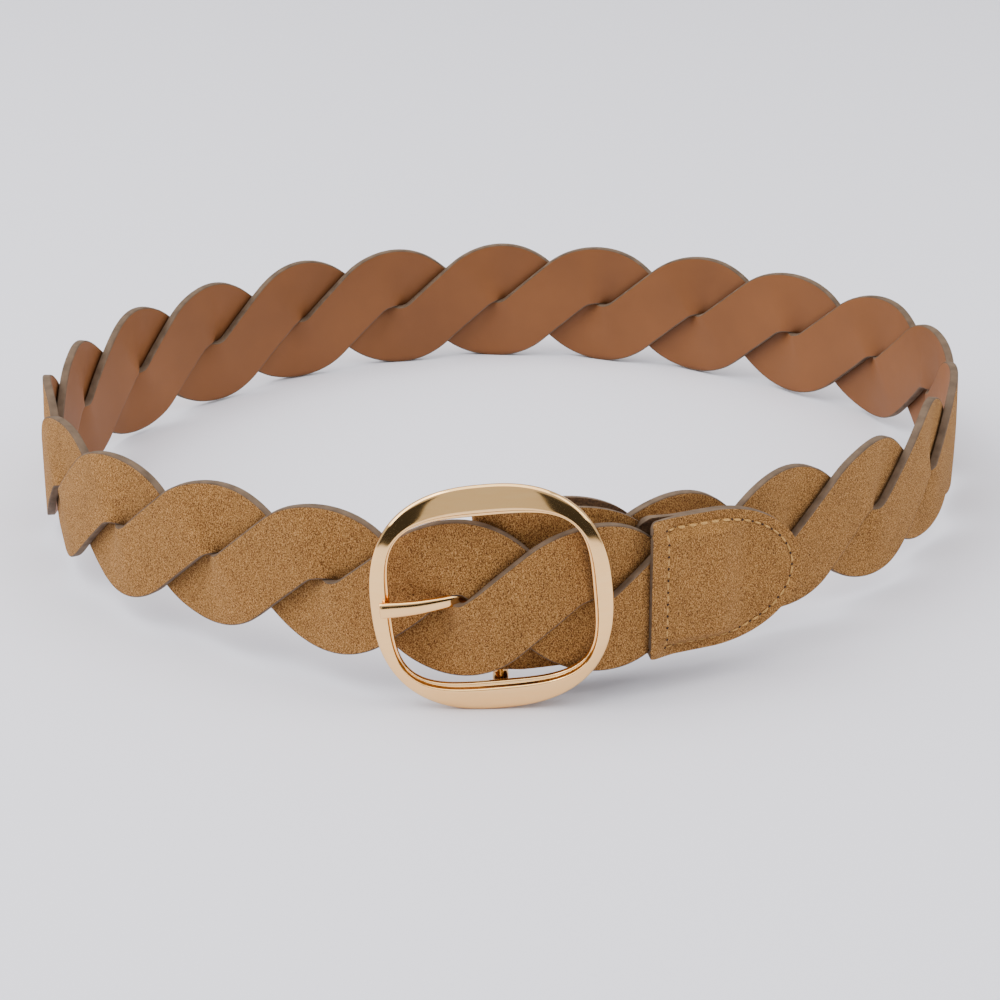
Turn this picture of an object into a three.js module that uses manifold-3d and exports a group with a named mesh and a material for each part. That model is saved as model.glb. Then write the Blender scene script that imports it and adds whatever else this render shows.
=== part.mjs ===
// A leather belt braided from two wavy strips, fastened in a closed loop that stands on its edge.
// A gold centre-bar buckle closes it. Millimetres, +Z up, buckle towards -Y.
import * as THREE from "three";
import { mergeVertices } from "three/addons/utils/BufferGeometryUtils.js";
import Module from "manifold-3d";

// Driving sizes of the braid
const STRAND_WIDTH = 23;
const STRAND_LEATHER = 2.8;
const STRAND_CROWN = 0.04;
const CROSSING_GAP = 0.5;
const EDGE_ROUND = 0.5;
const BEND_RADIUS = 19.4;
const LOBE_PITCH = 42.4;
const EYE_HALF = 0.7;
const STRAND_SHIFT = 2.3;

// Driving sizes of the tip tab
const TAB_LENGTH = 54;
const TAB_POINT = 31.5;
const TAB_HALF_HEIGHT = 22.5;
const TAB_WALL = 1.6;
const TAB_CORNER = 3;
const TAB_TIP_FLAT = 1.5;
const TAB_POCKET_HALF_HEIGHT = 18;
const TAB_POCKET_FLARE = 2.3;
const TAB_FADE = 12;
const TAB_OPENING = 11;
const TAB_MOUTH_RUNOUT = 4;

// Driving sizes of the buckle, its centre bar and its prong
const FRAME_WIDTH = 72.4;
const FRAME_SIDE = 6;
const FRAME_RAIL = 9.6;
const FRAME_THICKNESS = 4;
const FRAME_LIP = 2;
const FRAME_OUTER_SQUARENESS = 2.45;
const FRAME_INNER_SQUARENESS = 3.8;
const FRAME_YAW = 2.7;
const FRAME_ROLL = 5.2;
const OPENING_ROOM = 0.9;
const BUCKLE_RISE = 2.4;
const FOOT_DEPTH = 0.2;
const BAR_DIAMETER = 3.6;
const LUG_WIDTH = 5;
const LUG_HEIGHT = 3;
const LUG_SINK = 1.2;
const PRONG_ROOT_WIDTH = 3.2;
const PRONG_TIP_WIDTH = 4.2;
const PRONG_THICKNESS = 2.4;
const PRONG_TIP_INSET = 3;
const PRONG_DROP = 1.5;
const PRONG_TILT = 4;
const PRONG_EYE_WALL = 1.5;
const PRONG_EYE_HEIGHT = 4.4;

// Driving sizes of the folded leather end that holds the centre bar. Its point is like the tip tab's
const CHAPE_WALL = 1.6;
const CHAPE_HALF_HEIGHT = 25.3;
const CHAPE_LENGTH = 54;
const CHAPE_FLARE = 3;
const CHAPE_BULGE = 0.1;
const CHAPE_ROOM = 0.5;

// Clearances
const FIT_GAP = 0.3;
const BAR_GAP = 0.4;
const SLOT_GAP = 0.5;
const FRAME_GAP = 0.6;
const SLOT_PAST_FOLD = 1;
const SLOT_PAST_WALL = 4;

// Fineness of the facets
const BEND_STEPS = 5;
const DIAGONAL_STEPS = 3;
const FRAME_STEPS = 44;
const BAR_SIDES = 12;
const EYE_SEGMENTS = 8;
const PRONG_STEPS = 14;
const PRONG_SIDES = 8;
const POINT_STEPS = 6;
const POCKET_STEPS = 6;
const FOLD_STEPS = 8;
const WALL_STEPS = 7;
const CHAPE_LEVELS = 4;

// The loop in plan, as a chain of arcs: the lobe that each arc ends at, and its turn in degrees.
// Lobes are counted from the tip tab, along the front, round the back and to the buckle again.
const ROUTE_START = -0.8;
const ROUTE_HEADING = 204.2;
const ROUTE = [
  { to: 0.62, turn: 4.6 },
  { to: 1.4, turn: -18.6 },
  { to: 2.5, turn: -32.2 },
  { to: 4.5, turn: -12.3 },
  { to: 6.5, turn: -39.0 },
  { to: 8.5, turn: -36.0 },
  { to: 11.5, turn: -42.5 },
  { to: 14.5, turn: -48.3 },
  { to: 16.5, turn: -21.3 },
  { to: 18.0, turn: -38.4 },
  { to: 19.5, turn: -27.9 },
  { to: 21.5, turn: -28.5 },
  { to: 23.0, turn: -12.6 },
  { to: 24.6, turn: -20.8 },
];
const CLOSING_START = 20;
const BAR_LOBE = 24.4;

// How far the braid's middle line rises and falls round the loop
const LIFTS = [
  { lobe: 0, lift: -0.4 },
  { lobe: 1.5, lift: 0.2 },
  { lobe: 3, lift: 1.3 },
  { lobe: 4.5, lift: 0.5 },
  { lobe: 6, lift: -0.6 },
  { lobe: 9, lift: -1.0 },
  { lobe: 12, lift: 0.1 },
  { lobe: 15, lift: 0.2 },
  { lobe: 18, lift: -0.6 },
  { lobe: 21, lift: -0.6 },
  { lobe: 24, lift: 2.0 },
];

// Where things sit along the braid, in lobes
const TAB_MOUTH = 0.62;
const STRAND_START = 0.3;
const STRAND_END = 24;
const BUCKLE_LOBE = 1.75;
const PRONG_LOBE = 2;

// How the prong parts and pushes the strands where it comes through
const PRONG_SPREAD = 2.1;
const PRONG_LIFT = 0.55;
const PUSH_IN = 2.8;
const PUSH_OUT = 2.0;
const PUSH_REACH = 6;
const PUSH_HEIGHT = 8;

// Tolerances: points closer than these count as one
const WELD = 0.0001;
const LEVEL = 0.001;
const HEADING_STEP = 0.001;
const NEAREST_SECTION = 0.02;

// A strand's section: across as a share of the half width, and the share of the crown there
const STRAND_ROWS = [
  { across: -1, inset: EDGE_ROUND, crown: 0 },
  { across: -0.5, inset: 0, crown: 0.75 },
  { across: 0, inset: 0, crown: 1 },
  { across: 0.5, inset: 0, crown: 0.75 },
  { across: 1, inset: EDGE_ROUND, crown: 0 },
];

// The tab's rows across it, as shares of its half height, and how full its pocket is at each
const TAB_ROWS = [
  { share: -1, fill: 0 },
  { share: -0.92, fill: 0 },
  { share: -0.82, fill: 1 },
  { share: -0.3, fill: 1 },
  { share: 0.3, fill: 1 },
  { share: 0.82, fill: 1 },
  { share: 0.92, fill: 0 },
  { share: 1, fill: 0 },
];
const TAB_STRAIGHT_SHARES = [0.35, 0.7, 1];
const TAB_CORNER_SHARES = [0.6, 1];

// The frame's section: across from the opening's edge to the rim, and out from its back
const FRAME_SECTION = [
  { across: 0.0, out: 0.1 },
  { across: 0.0, out: FRAME_LIP / FRAME_THICKNESS },
  { across: 0.44, out: 1.0 },
  { across: 0.76, out: 0.94 },
  { across: 0.94, out: 0.75 },
  { across: 1.0, out: 0.4 },
  { across: 0.97, out: 0.1 },
  { across: 0.5, out: 0.0 },
];

// The prong's line: it starts on its eye, then dips towards its hole and rises from it to its tip
const PRONG_START = { x: 0.72, y: 0.41 };
const PRONG_DIP = { x: 0.62, y: 0.6 };
const PRONG_RISE = { x: 0.5, y: 0.7 };

const wasm = await Module();
wasm.setup();

const { sin, cos, tan, acos, atan, atan2, hypot, abs, min, max, sign, sqrt, round, exp, PI } = Math;
const radians = THREE.MathUtils.degToRad;
const { clamp, lerp, smoothstep } = THREE.MathUtils;

// Sizes that follow from the driving ones
const HALF_WIDTH = STRAND_WIDTH / 2;
const WAVE = HALF_WIDTH + EYE_HALF;
const LAYER = (STRAND_LEATHER + 2 * STRAND_CROWN + CROSSING_GAP) / 2;
const BRAID_HALF_THICKNESS = LAYER + STRAND_LEATHER / 2 + STRAND_CROWN;
const BRAID_HALF_HEIGHT = WAVE + HALF_WIDTH;
const INNER_RADIUS = BEND_RADIUS - HALF_WIDTH;
const OPENING_HALF_HEIGHT = BRAID_HALF_HEIGHT + PRONG_SPREAD + OPENING_ROOM;
const FRAME_HEIGHT = 2 * (OPENING_HALF_HEIGHT + FRAME_RAIL);
const BAR_RADIUS = BAR_DIAMETER / 2;
const CHAPE_INNER = BAR_RADIUS + BAR_GAP;
const CHAPE_OUTER = CHAPE_INNER + CHAPE_WALL;
const BAR_DEPTH = BRAID_HALF_THICKNESS + FIT_GAP + CHAPE_OUTER;

// Slope of the diagonals, from half a pitch = R sin + L cos and the wave = R (1 - cos) + L sin
const SLOPE_REACH = hypot(LOBE_PITCH / 2, BEND_RADIUS - WAVE);
const SLOPE = atan2(LOBE_PITCH / 2, BEND_RADIUS - WAVE) - acos(min(1, BEND_RADIUS / SLOPE_REACH));
const DIAGONAL_HALF = (LOBE_PITCH / 2 - BEND_RADIUS * sin(SLOPE)) / cos(SLOPE);
const LOBE_RUN = 2 * (DIAGONAL_HALF + BEND_RADIUS * SLOPE);

// The two bends of a lobe have their centres this far apart, leaning by LEAN because of the shift
const CENTRES_APART = hypot(STRAND_SHIFT, 2 * (BEND_RADIUS - WAVE));
const LEAN = atan2(STRAND_SHIFT, 2 * (BEND_RADIUS - WAVE));
const EYE_TURN = acos(min(1, CENTRES_APART / (2 * INNER_RADIUS)));

// The tab's pocket reaches past the corners of the strands' slanting ends
const STRAND_CORNER = HALF_WIDTH * sin(SLOPE) + STRAND_SHIFT;
const POCKET_DEPTH = (TAB_MOUTH - STRAND_START) * LOBE_PITCH + STRAND_CORNER;
const POCKET_HALF = BRAID_HALF_THICKNESS + FIT_GAP;

// The braid's middle line in plan, before its ends are closed onto the buckle
function plainRoute(lobe) {
  let from = ROUTE_START;
  let heading = radians(ROUTE_HEADING);
  const spot = new THREE.Vector2();
  for (const [index, arc] of ROUTE.entries()) {
    const last = index === ROUTE.length - 1;
    const bend = radians(arc.turn) / ((arc.to - from) * LOBE_PITCH);
    const upTo = last ? lobe : min(lobe, arc.to);
    const angle = bend * (upTo - from) * LOBE_PITCH;
    spot.x += (sin(heading + angle) - sin(heading)) / bend;
    spot.y -= (cos(heading + angle) - cos(heading)) / bend;
    heading += angle;
    if (last || lobe <= arc.to) break;
    from = arc.to;
  }
  return { spot, heading };
}

function outwardOf(heading) {
  return new THREE.Vector2(-sin(heading), cos(heading));
}

// The centre bar stands behind the front layer, with the folded end between them
const front = plainRoute(BUCKLE_LOBE);
const BAR_SPOT = front.spot.clone().addScaledVector(outwardOf(front.heading), -BAR_DEPTH);
const CLOSING = BAR_SPOT.clone().sub(plainRoute(BAR_LOBE).spot);

function routeSpot(lobe) {
  return plainRoute(lobe).spot.addScaledVector(CLOSING, smoothstep(lobe, CLOSING_START, BAR_LOBE));
}

function liftAt(lobe) {
  const next = LIFTS.findIndex((row) => row.lobe > lobe);
  if (next < 1) return LIFTS.at(next).lift;
  const low = LIFTS[next - 1];
  const high = LIFTS[next];
  return lerp(low.lift, high.lift, smoothstep(lobe, low.lobe, high.lobe));
}

// A point of the belt: along in lobes, out from the braid's middle surface, and its height
function onBelt(lobe, out, height) {
  const ahead = routeSpot(lobe + HEADING_STEP).sub(routeSpot(lobe - HEADING_STEP));
  const spot = routeSpot(lobe).addScaledVector(outwardOf(ahead.angle()), out);
  return new THREE.Vector3(spot.x, spot.y, height + liftAt(lobe));
}

// The strands give way inwards past the prong's opening and outwards before it
function prongPush(along, height) {
  const share = along / PUSH_REACH;
  const fade = exp((1 - share * share) / 2 - (height / PUSH_HEIGHT) ** 2 / 2);
  return -share * fade * (along > 0 ? PUSH_IN : PUSH_OUT);
}

// A point of a strand. side is 1 for strand_a, with crests at even lobes, and -1 for strand_b
function onStrand(side, place, across, out) {
  const lobe = round(place);
  const up = (lobe % 2 === 0 ? 1 : -1) * side;
  const run = (place - lobe) * LOBE_RUN;
  const radius = BEND_RADIUS + up * across;
  const turn = clamp(run / BEND_RADIUS, -SLOPE, SLOPE);
  const straight = run - turn * BEND_RADIUS;
  const along = radius * sin(turn) + straight * cos(SLOPE) - (side * STRAND_SHIFT) / 2;
  const rise = WAVE - BEND_RADIUS + radius * cos(turn) - abs(straight) * sin(SLOPE);
  const wide = lerp(EYE_TURN, SLOPE - LEAN, (radius - INNER_RADIUS) / STRAND_WIDTH);
  const flip = clamp((turn - side * LEAN) / wide, -1, 1);
  const layer = up * LAYER * ((flip * (3 - flip * flip)) / 2);
  const parting = cos(PI * clamp(place - PRONG_LOBE, -0.5, 0.5)) ** 2;
  const height = up * (rise + PRONG_SPREAD * parting) + PRONG_LIFT * parting;
  const fromProng = (lobe - PRONG_LOBE) * LOBE_PITCH + along;
  return onBelt(lobe + along / LOBE_PITCH, layer + out + prongPush(fromProng, height), height);
}

function welded(geometry) {
  geometry.deleteAttribute("normal");
  geometry.deleteAttribute("uv");
  return mergeVertices(geometry, WELD);
}

function reshaped(geometry, place) {
  const shaped = welded(geometry);
  const spots = shaped.attributes.position;
  for (let i = 0; i < spots.count; i++) {
    const to = place(new THREE.Vector3().fromBufferAttribute(spots, i));
    spots.setXYZ(i, to.x, to.y, to.z);
  }
  return shaped;
}

function toSolid(geometry) {
  const mesh = welded(geometry);
  const shape = { numProp: 3, vertProperties: mesh.attributes.position.array };
  return new wasm.Manifold(new wasm.Mesh({ ...shape, triVerts: Uint32Array.from(mesh.index.array) }));
}

function toGeometry(solid) {
  const mesh = solid.getMesh();
  const geometry = new THREE.BufferGeometry();
  geometry.setAttribute("position", new THREE.BufferAttribute(mesh.vertProperties, 3));
  geometry.setIndex(new THREE.BufferAttribute(mesh.triVerts, 1));
  return geometry;
}

// Places of a strand's cross-sections: closer round each bend than along each diagonal
function strandPlaces() {
  const bend = (SLOPE * BEND_RADIUS) / LOBE_RUN;
  const places = [];
  for (let lobe = 0; lobe <= STRAND_END; lobe++) {
    const atProng = lobe === PRONG_LOBE;
    const beforeProng = lobe === PRONG_LOBE - 1;
    const bendSteps = BEND_STEPS * (atProng ? 2 : 1);
    const diagonalSteps = DIAGONAL_STEPS * (atProng || beforeProng ? 2 : 1);
    for (let i = 0; i <= bendSteps; i++) places.push(lobe + bend * ((2 * i) / bendSteps - 1));
    for (let i = 1; i < diagonalSteps; i++) {
      places.push(lobe + bend + ((1 - 2 * bend) * i) / diagonalSteps);
    }
  }
  const first = STRAND_START + NEAREST_SECTION;
  const last = STRAND_END - NEAREST_SECTION;
  return [STRAND_START, ...places.filter((at) => at > first && at < last), STRAND_END];
}

// The strip's section, thickness along X and width along Y
function strandSection() {
  const face = STRAND_ROWS.map(({ across, inset, crown }) => ({
    x: STRAND_LEATHER / 2 + STRAND_CROWN * crown,
    y: across * (HALF_WIDTH - inset),
  }));
  const outer = face.map(({ x, y }) => new THREE.Vector2(x, y));
  const inner = face.map(({ x, y }) => new THREE.Vector2(-x, y)).reverse();
  const top = new THREE.Vector2(0, HALF_WIDTH);
  const bottom = new THREE.Vector2(0, -HALF_WIDTH);
  return new THREE.Shape([...outer, top, ...inner, bottom]);
}

function strand(side) {
  const places = strandPlaces();
  const steps = places.length - 1;
  const strip = new THREE.ExtrudeGeometry(strandSection(), { steps, depth: steps, bevelEnabled: false });
  return reshaped(strip, ({ x, y, z }) => onStrand(side, places[round(z)], y, x));
}

// Share of the full height left at a distance from a pointed end: half an ellipse, then straight
function pointShare(fromTip) {
  const point = clamp(1 - fromTip / TAB_POINT, 0, 1);
  return max(TAB_TIP_FLAT / TAB_HALF_HEIGHT, sqrt(1 - point * point));
}

// Half the tab's height at a distance from its tip, with a round corner at its mouth
function tabHalfHeight(fromTip) {
  const toMouth = clamp(1 - (TAB_LENGTH - fromTip) / TAB_CORNER, 0, 1);
  return TAB_HALF_HEIGHT * pointShare(fromTip) - TAB_CORNER * (1 - sqrt(1 - toMouth * toMouth));
}

function tabPlaces() {
  const places = [];
  for (let i = 0; i <= POINT_STEPS; i++) {
    places.push(TAB_POINT * (1 - cos(((i / POINT_STEPS) * PI) / 2)));
  }
  const straight = TAB_LENGTH - TAB_CORNER - TAB_POINT;
  for (const share of TAB_STRAIGHT_SHARES) places.push(TAB_POINT + straight * share);
  for (const share of TAB_CORNER_SHARES) places.push(TAB_LENGTH - TAB_CORNER * (1 - share));
  return places;
}

function tabLobe(fromTip) {
  return TAB_MOUTH - (TAB_LENGTH - fromTip) / LOBE_PITCH;
}

// How far the walls' edges have parted: nothing along the tab, fully at its mouth
function tabParting(fromTip) {
  return smoothstep(fromTip, TAB_LENGTH - TAB_OPENING, TAB_LENGTH);
}

// Two walls that are closed all round but for the mouth, where the strands' ends go in
function tipTab() {
  const places = tabPlaces();
  const steps = places.length - 1;
  const across = TAB_ROWS.length - 1;
  const pocketEnd = TAB_LENGTH - POCKET_DEPTH;
  const plate = new THREE.BoxGeometry(2, across, steps, 1, across, steps);
  const body = reshaped(plate, ({ x, y, z }) => {
    const fromTip = places[round(z + steps / 2)];
    const row = TAB_ROWS[round(y + across / 2)];
    const room = smoothstep(fromTip, pocketEnd - TAB_FADE, pocketEnd);
    const fill = max(row.fill, tabParting(fromTip)) * room;
    const out = sign(x) * (TAB_WALL + POCKET_HALF * fill);
    return onBelt(tabLobe(fromTip), out, row.share * tabHalfHeight(fromTip));
  });
  const block = new THREE.BoxGeometry(2, 2, POCKET_STEPS, 1, 1, POCKET_STEPS);
  const pocket = reshaped(block, ({ x, y, z }) => {
    const share = (z + POCKET_STEPS / 2) / POCKET_STEPS;
    const fromTip = lerp(pocketEnd, TAB_LENGTH + TAB_MOUTH_RUNOUT, share);
    const halfHeight = TAB_POCKET_HALF_HEIGHT + TAB_POCKET_FLARE * tabParting(fromTip);
    return onBelt(tabLobe(fromTip), x * POCKET_HALF, y * halfHeight);
  });
  return toGeometry(toSolid(body).subtract(toSolid(pocket)));
}

// The buckle's own frame: X along its width, Y into the loop, Z up, turned about the centre bar
const BUCKLE_TURN = front.heading - PI + radians(FRAME_YAW);
const BUCKLE_X = new THREE.Vector3(cos(BUCKLE_TURN), sin(BUCKLE_TURN), 0);
const BUCKLE_PLACE = new THREE.Matrix4().makeTranslation(BAR_SPOT.x, BAR_SPOT.y, BUCKLE_RISE);
BUCKLE_PLACE.multiply(new THREE.Matrix4().makeRotationZ(BUCKLE_TURN));
BUCKLE_PLACE.multiply(new THREE.Matrix4().makeRotationY(-radians(FRAME_ROLL)));
const BUCKLE_UNPLACE = BUCKLE_PLACE.clone().invert();

// The folded end: two walls over the strands' ends that wrap the centre bar, slotted for the prong
function foldOutline() {
  const near = -CHAPE_OUTER - CHAPE_FLARE;
  const pointStart = CHAPE_LENGTH - TAB_POINT;
  const spots = [near, -pointStart];
  for (let i = 1; i < WALL_STEPS; i++) {
    spots.push(-pointStart - TAB_POINT * sin(((i / (WALL_STEPS - 1)) * PI) / 2));
  }
  const wall = (half, fold) => {
    const bulged = spots.map((x, i) => [x, half + CHAPE_BULGE * sin((PI * i) / (spots.length - 1))]);
    const arc = [];
    for (let i = 1; i < FOLD_STEPS; i++) {
      const angle = (PI * i) / FOLD_STEPS;
      arc.push([fold * sin(angle), fold * cos(angle)]);
    }
    return [...bulged.toReversed(), ...arc, ...bulged.map(([x, y]) => [x, -y])];
  };
  const strands = BRAID_HALF_THICKNESS + CHAPE_ROOM;
  const outer = wall(strands + CHAPE_WALL, CHAPE_OUTER);
  const inner = wall(strands, CHAPE_INNER).reverse();
  return new THREE.Shape([...outer, ...inner].map(([x, y]) => new THREE.Vector2(x, y)));
}

function buckleChape() {
  const steps = CHAPE_LEVELS;
  const fold = new THREE.ExtrudeGeometry(foldOutline(), { steps, depth: steps, bevelEnabled: false });
  const body = reshaped(fold, ({ x, y, z }) => {
    const height = CHAPE_HALF_HEIGHT * pointShare(CHAPE_LENGTH + x) * ((2 * z) / steps - 1);
    const spot = onBelt(BAR_LOBE + x / LOBE_PITCH, y, height);
    const lean = (spot.z - BUCKLE_RISE) * tan(radians(FRAME_ROLL));
    const share = smoothstep(x, -CHAPE_LENGTH, -CHAPE_OUTER);
    return spot.addScaledVector(BUCKLE_X, -lean * share);
  });
  const slotDeep = 2 * (CHAPE_OUTER + SLOT_PAST_FOLD);
  const slotHeight = PRONG_EYE_HEIGHT + 2 * SLOT_GAP;
  const slot = new THREE.BoxGeometry(slotDeep, slotDeep + 2 * SLOT_PAST_WALL, slotHeight);
  slot.translate(0, 0, -PRONG_DROP);
  slot.applyMatrix4(BUCKLE_PLACE);
  return toGeometry(toSolid(body).subtract(toSolid(slot)));
}

function squircle(angle, halfWidth, halfHeight, squareness) {
  const reach = (abs(cos(angle)) ** squareness + abs(sin(angle)) ** squareness) ** (-1 / squareness);
  return new THREE.Vector2(halfWidth * reach * cos(angle), halfHeight * reach * sin(angle));
}

function frameOuter(angle) {
  return squircle(angle, FRAME_WIDTH / 2, FRAME_HEIGHT / 2, FRAME_OUTER_SQUARENESS);
}

function frameInner(angle) {
  const halfWidth = FRAME_WIDTH / 2 - FRAME_SIDE;
  return squircle(angle, halfWidth, OPENING_HALF_HEIGHT, FRAME_INNER_SQUARENESS);
}

// The frame's back lies just outside the braid that passes behind its side bars
function frameBack(strands) {
  let reach = 0;
  const spot = new THREE.Vector3();
  for (const geometry of strands) {
    const spots = geometry.attributes.position;
    for (let i = 0; i < spots.count; i++) {
      spot.fromBufferAttribute(spots, i).applyMatrix4(BUCKLE_UNPLACE);
      const angle = atan2(spot.z / FRAME_HEIGHT, spot.x / FRAME_WIDTH);
      const from = hypot(spot.x, spot.z);
      const inside = from < frameInner(angle).length() - FRAME_GAP;
      const outside = from > frameOuter(angle).length() + FRAME_GAP;
      if (!inside && !outside && abs(spot.y) < FRAME_WIDTH / 2) reach = max(reach, -spot.y);
    }
  }
  return reach + FRAME_GAP;
}

function buckleFrame(back) {
  const sides = FRAME_SECTION.length;
  const ring = new THREE.TorusGeometry(2, 1, sides, FRAME_STEPS);
  return reshaped(ring, ({ x, y, z }) => {
    const angle = atan2(y, x);
    const around = atan2(z, 2 - hypot(x, y));
    const corner = FRAME_SECTION[(round((around / (2 * PI)) * sides) + sides) % sides];
    const flat = frameInner(angle).lerp(frameOuter(angle), corner.across);
    return new THREE.Vector3(flat.x, -back - corner.out * FRAME_THICKNESS, flat.y);
  });
}

const strandGeometries = [strand(1), strand(-1)];
const back = frameBack(strandGeometries);

// The centre bar's two lugs stand behind the upper and lower bars of the frame
function buckleSolid() {
  const barReach = OPENING_HALF_HEIGHT + LUG_SINK + LUG_HEIGHT / 2;
  const bar = new THREE.CylinderGeometry(BAR_RADIUS, BAR_RADIUS, 2 * barReach, BAR_SIDES);
  bar.rotateX(PI / 2);
  let solid = toSolid(buckleFrame(back)).add(toSolid(bar));
  const lugDeep = back + FRAME_THICKNESS / 2 + BAR_RADIUS;
  for (const end of [-1, 1]) {
    const lug = new THREE.BoxGeometry(LUG_WIDTH, lugDeep, LUG_HEIGHT);
    lug.translate(0, BAR_RADIUS - lugDeep / 2, end * barReach);
    solid = solid.add(toSolid(lug));
  }
  return toGeometry(solid).applyMatrix4(BUCKLE_PLACE);
}

function prongEye() {
  const outer = CHAPE_INNER + PRONG_EYE_WALL;
  const shape = new THREE.Shape().absarc(0, 0, outer, 0, 2 * PI, false);
  shape.holes.push(new THREE.Path().absarc(0, 0, CHAPE_INNER, 0, 2 * PI, true));
  const settings = { depth: PRONG_EYE_HEIGHT, bevelEnabled: false, curveSegments: EYE_SEGMENTS };
  return new THREE.ExtrudeGeometry(shape, settings).translate(0, 0, -PRONG_DROP - PRONG_EYE_HEIGHT / 2);
}

// A flattened rod, eight-sided, whose flats touch the unit circle
function prongSection() {
  const points = [];
  for (let i = 0; i < PRONG_SIDES; i++) {
    const corner = ((2 * i + 1) * PI) / PRONG_SIDES;
    points.push(new THREE.Vector2(cos(corner), sin(corner)).divideScalar(cos(PI / PRONG_SIDES)));
  }
  return new THREE.Shape(points);
}

// The prong: an eye round the centre bar, and a shank through the braid to rest on the left bar
function prong() {
  const outer = CHAPE_INNER + PRONG_EYE_WALL;
  const half = PRONG_THICKNESS / 2;
  const hole = onBelt(PRONG_LOBE, 0, PRONG_LIFT).applyMatrix4(BUCKLE_UNPLACE);
  const tipX = -FRAME_WIDTH / 2 + PRONG_TIP_INSET;
  const tipY = -back - FRAME_THICKNESS - FIT_GAP - half;
  const spots = [
    { x: -outer * PRONG_START.x, y: -outer * PRONG_START.y },
    { x: hole.x * PRONG_DIP.x, y: hole.y * PRONG_DIP.y },
    { x: hole.x, y: hole.y },
    { x: lerp(hole.x, tipX, PRONG_RISE.x), y: lerp(hole.y, tipY, PRONG_RISE.y) },
    { x: tipX, y: tipY },
  ];
  const climb = tan(radians(PRONG_TILT));
  const line = new THREE.CatmullRomCurve3(
    spots.map(({ x, y }) => new THREE.Vector3(x, y, -PRONG_DROP - x * climb)),
  );
  const steps = PRONG_STEPS;
  const rod = new THREE.ExtrudeGeometry(prongSection(), { steps, depth: steps, bevelEnabled: false });
  const shank = reshaped(rod, ({ x, y, z }) => {
    const share = z / steps;
    const along = line.getTangentAt(share);
    const spot = line.getPointAt(share).addScaledVector(new THREE.Vector3(-along.y, along.x, 0), x * half);
    spot.z += (y * lerp(PRONG_ROOT_WIDTH, PRONG_TIP_WIDTH, share)) / 2;
    return spot;
  });
  return toGeometry(toSolid(prongEye()).add(toSolid(shank))).applyMatrix4(BUCKLE_PLACE);
}

// The belt rests on the buckle's lower rim and on the braid's lowest bends at the back
function lowest(geometry) {
  const spots = geometry.attributes.position;
  let low = new THREE.Vector3(0, 0, Infinity);
  for (let i = 0; i < spots.count; i++) {
    const spot = new THREE.Vector3().fromBufferAttribute(spots, i);
    const level = abs(spot.z - low.z) <= LEVEL;
    if (spot.z < low.z - LEVEL || (level && spot.y > low.y)) low = spot;
  }
  return low;
}

function restPlane(frame) {
  const foot = lowest(frame);
  let slope = Infinity;
  for (const geometry of strandGeometries) {
    const spots = geometry.attributes.position;
    for (let i = 0; i < spots.count; i++) {
      const away = spots.getY(i) - foot.y;
      const rise = spots.getZ(i) - foot.z - FOOT_DEPTH;
      if (away > LOBE_PITCH) slope = min(slope, rise / away);
    }
  }
  return { foot, tilt: atan(slope) };
}

function footed(frame, rest) {
  const wide = 2 * FRAME_WIDTH;
  const floor = new THREE.BoxGeometry(wide, wide, wide);
  floor.translate(0, 0, -wide / 2);
  floor.rotateX(rest.tilt);
  floor.translate(rest.foot.x, rest.foot.y, rest.foot.z + FOOT_DEPTH);
  return toGeometry(toSolid(frame).subtract(toSolid(floor)));
}

const plainBuckle = buckleSolid();
const rest = restPlane(plainBuckle);

const SUEDE = { color: 0x9c6f42, roughness: 0.95, metalness: 0 };
const GOLD = { color: 0xe6c79b, roughness: 0.18, metalness: 1 };

const pieces = [
  { name: "strand_a", geometry: strandGeometries[0], finish: SUEDE },
  { name: "strand_b", geometry: strandGeometries[1], finish: SUEDE },
  { name: "tip_tab", geometry: tipTab(), finish: SUEDE },
  { name: "buckle_chape", geometry: buckleChape(), finish: SUEDE },
  { name: "buckle_frame", geometry: footed(plainBuckle, rest), finish: GOLD },
  { name: "prong", geometry: prong(), finish: GOLD },
];

const belt = new THREE.Group();
for (const { name, geometry, finish } of pieces) {
  geometry.computeVertexNormals();
  const mesh = new THREE.Mesh(geometry, new THREE.MeshStandardMaterial(finish));
  mesh.name = name;
  belt.add(mesh);
}

// Lean the loop onto its resting points and centre it over the origin
belt.rotation.x = -rest.tilt;
belt.updateMatrixWorld(true);
const box = new THREE.Box3().setFromObject(belt, true);
const middle = box.getCenter(new THREE.Vector3());
belt.position.set(-middle.x, -middle.y, -box.min.z);

const group = new THREE.Group();
group.add(belt);
export default group;
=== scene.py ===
"""A suede belt braided from two wavy strips, fastened with a gold centre-bar buckle.

The sizes of the braid, the tab and the buckle follow the part's own solids, so each piece lies
where its solid does. Only the strips are a little wider, which shuts the openings between them.
Lengths are in metres.
"""
import math

import bpy
import numpy as np
from bpy.props import FloatProperty, FloatVectorProperty, IntProperty, PointerProperty
from mathutils import Matrix, Vector


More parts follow.
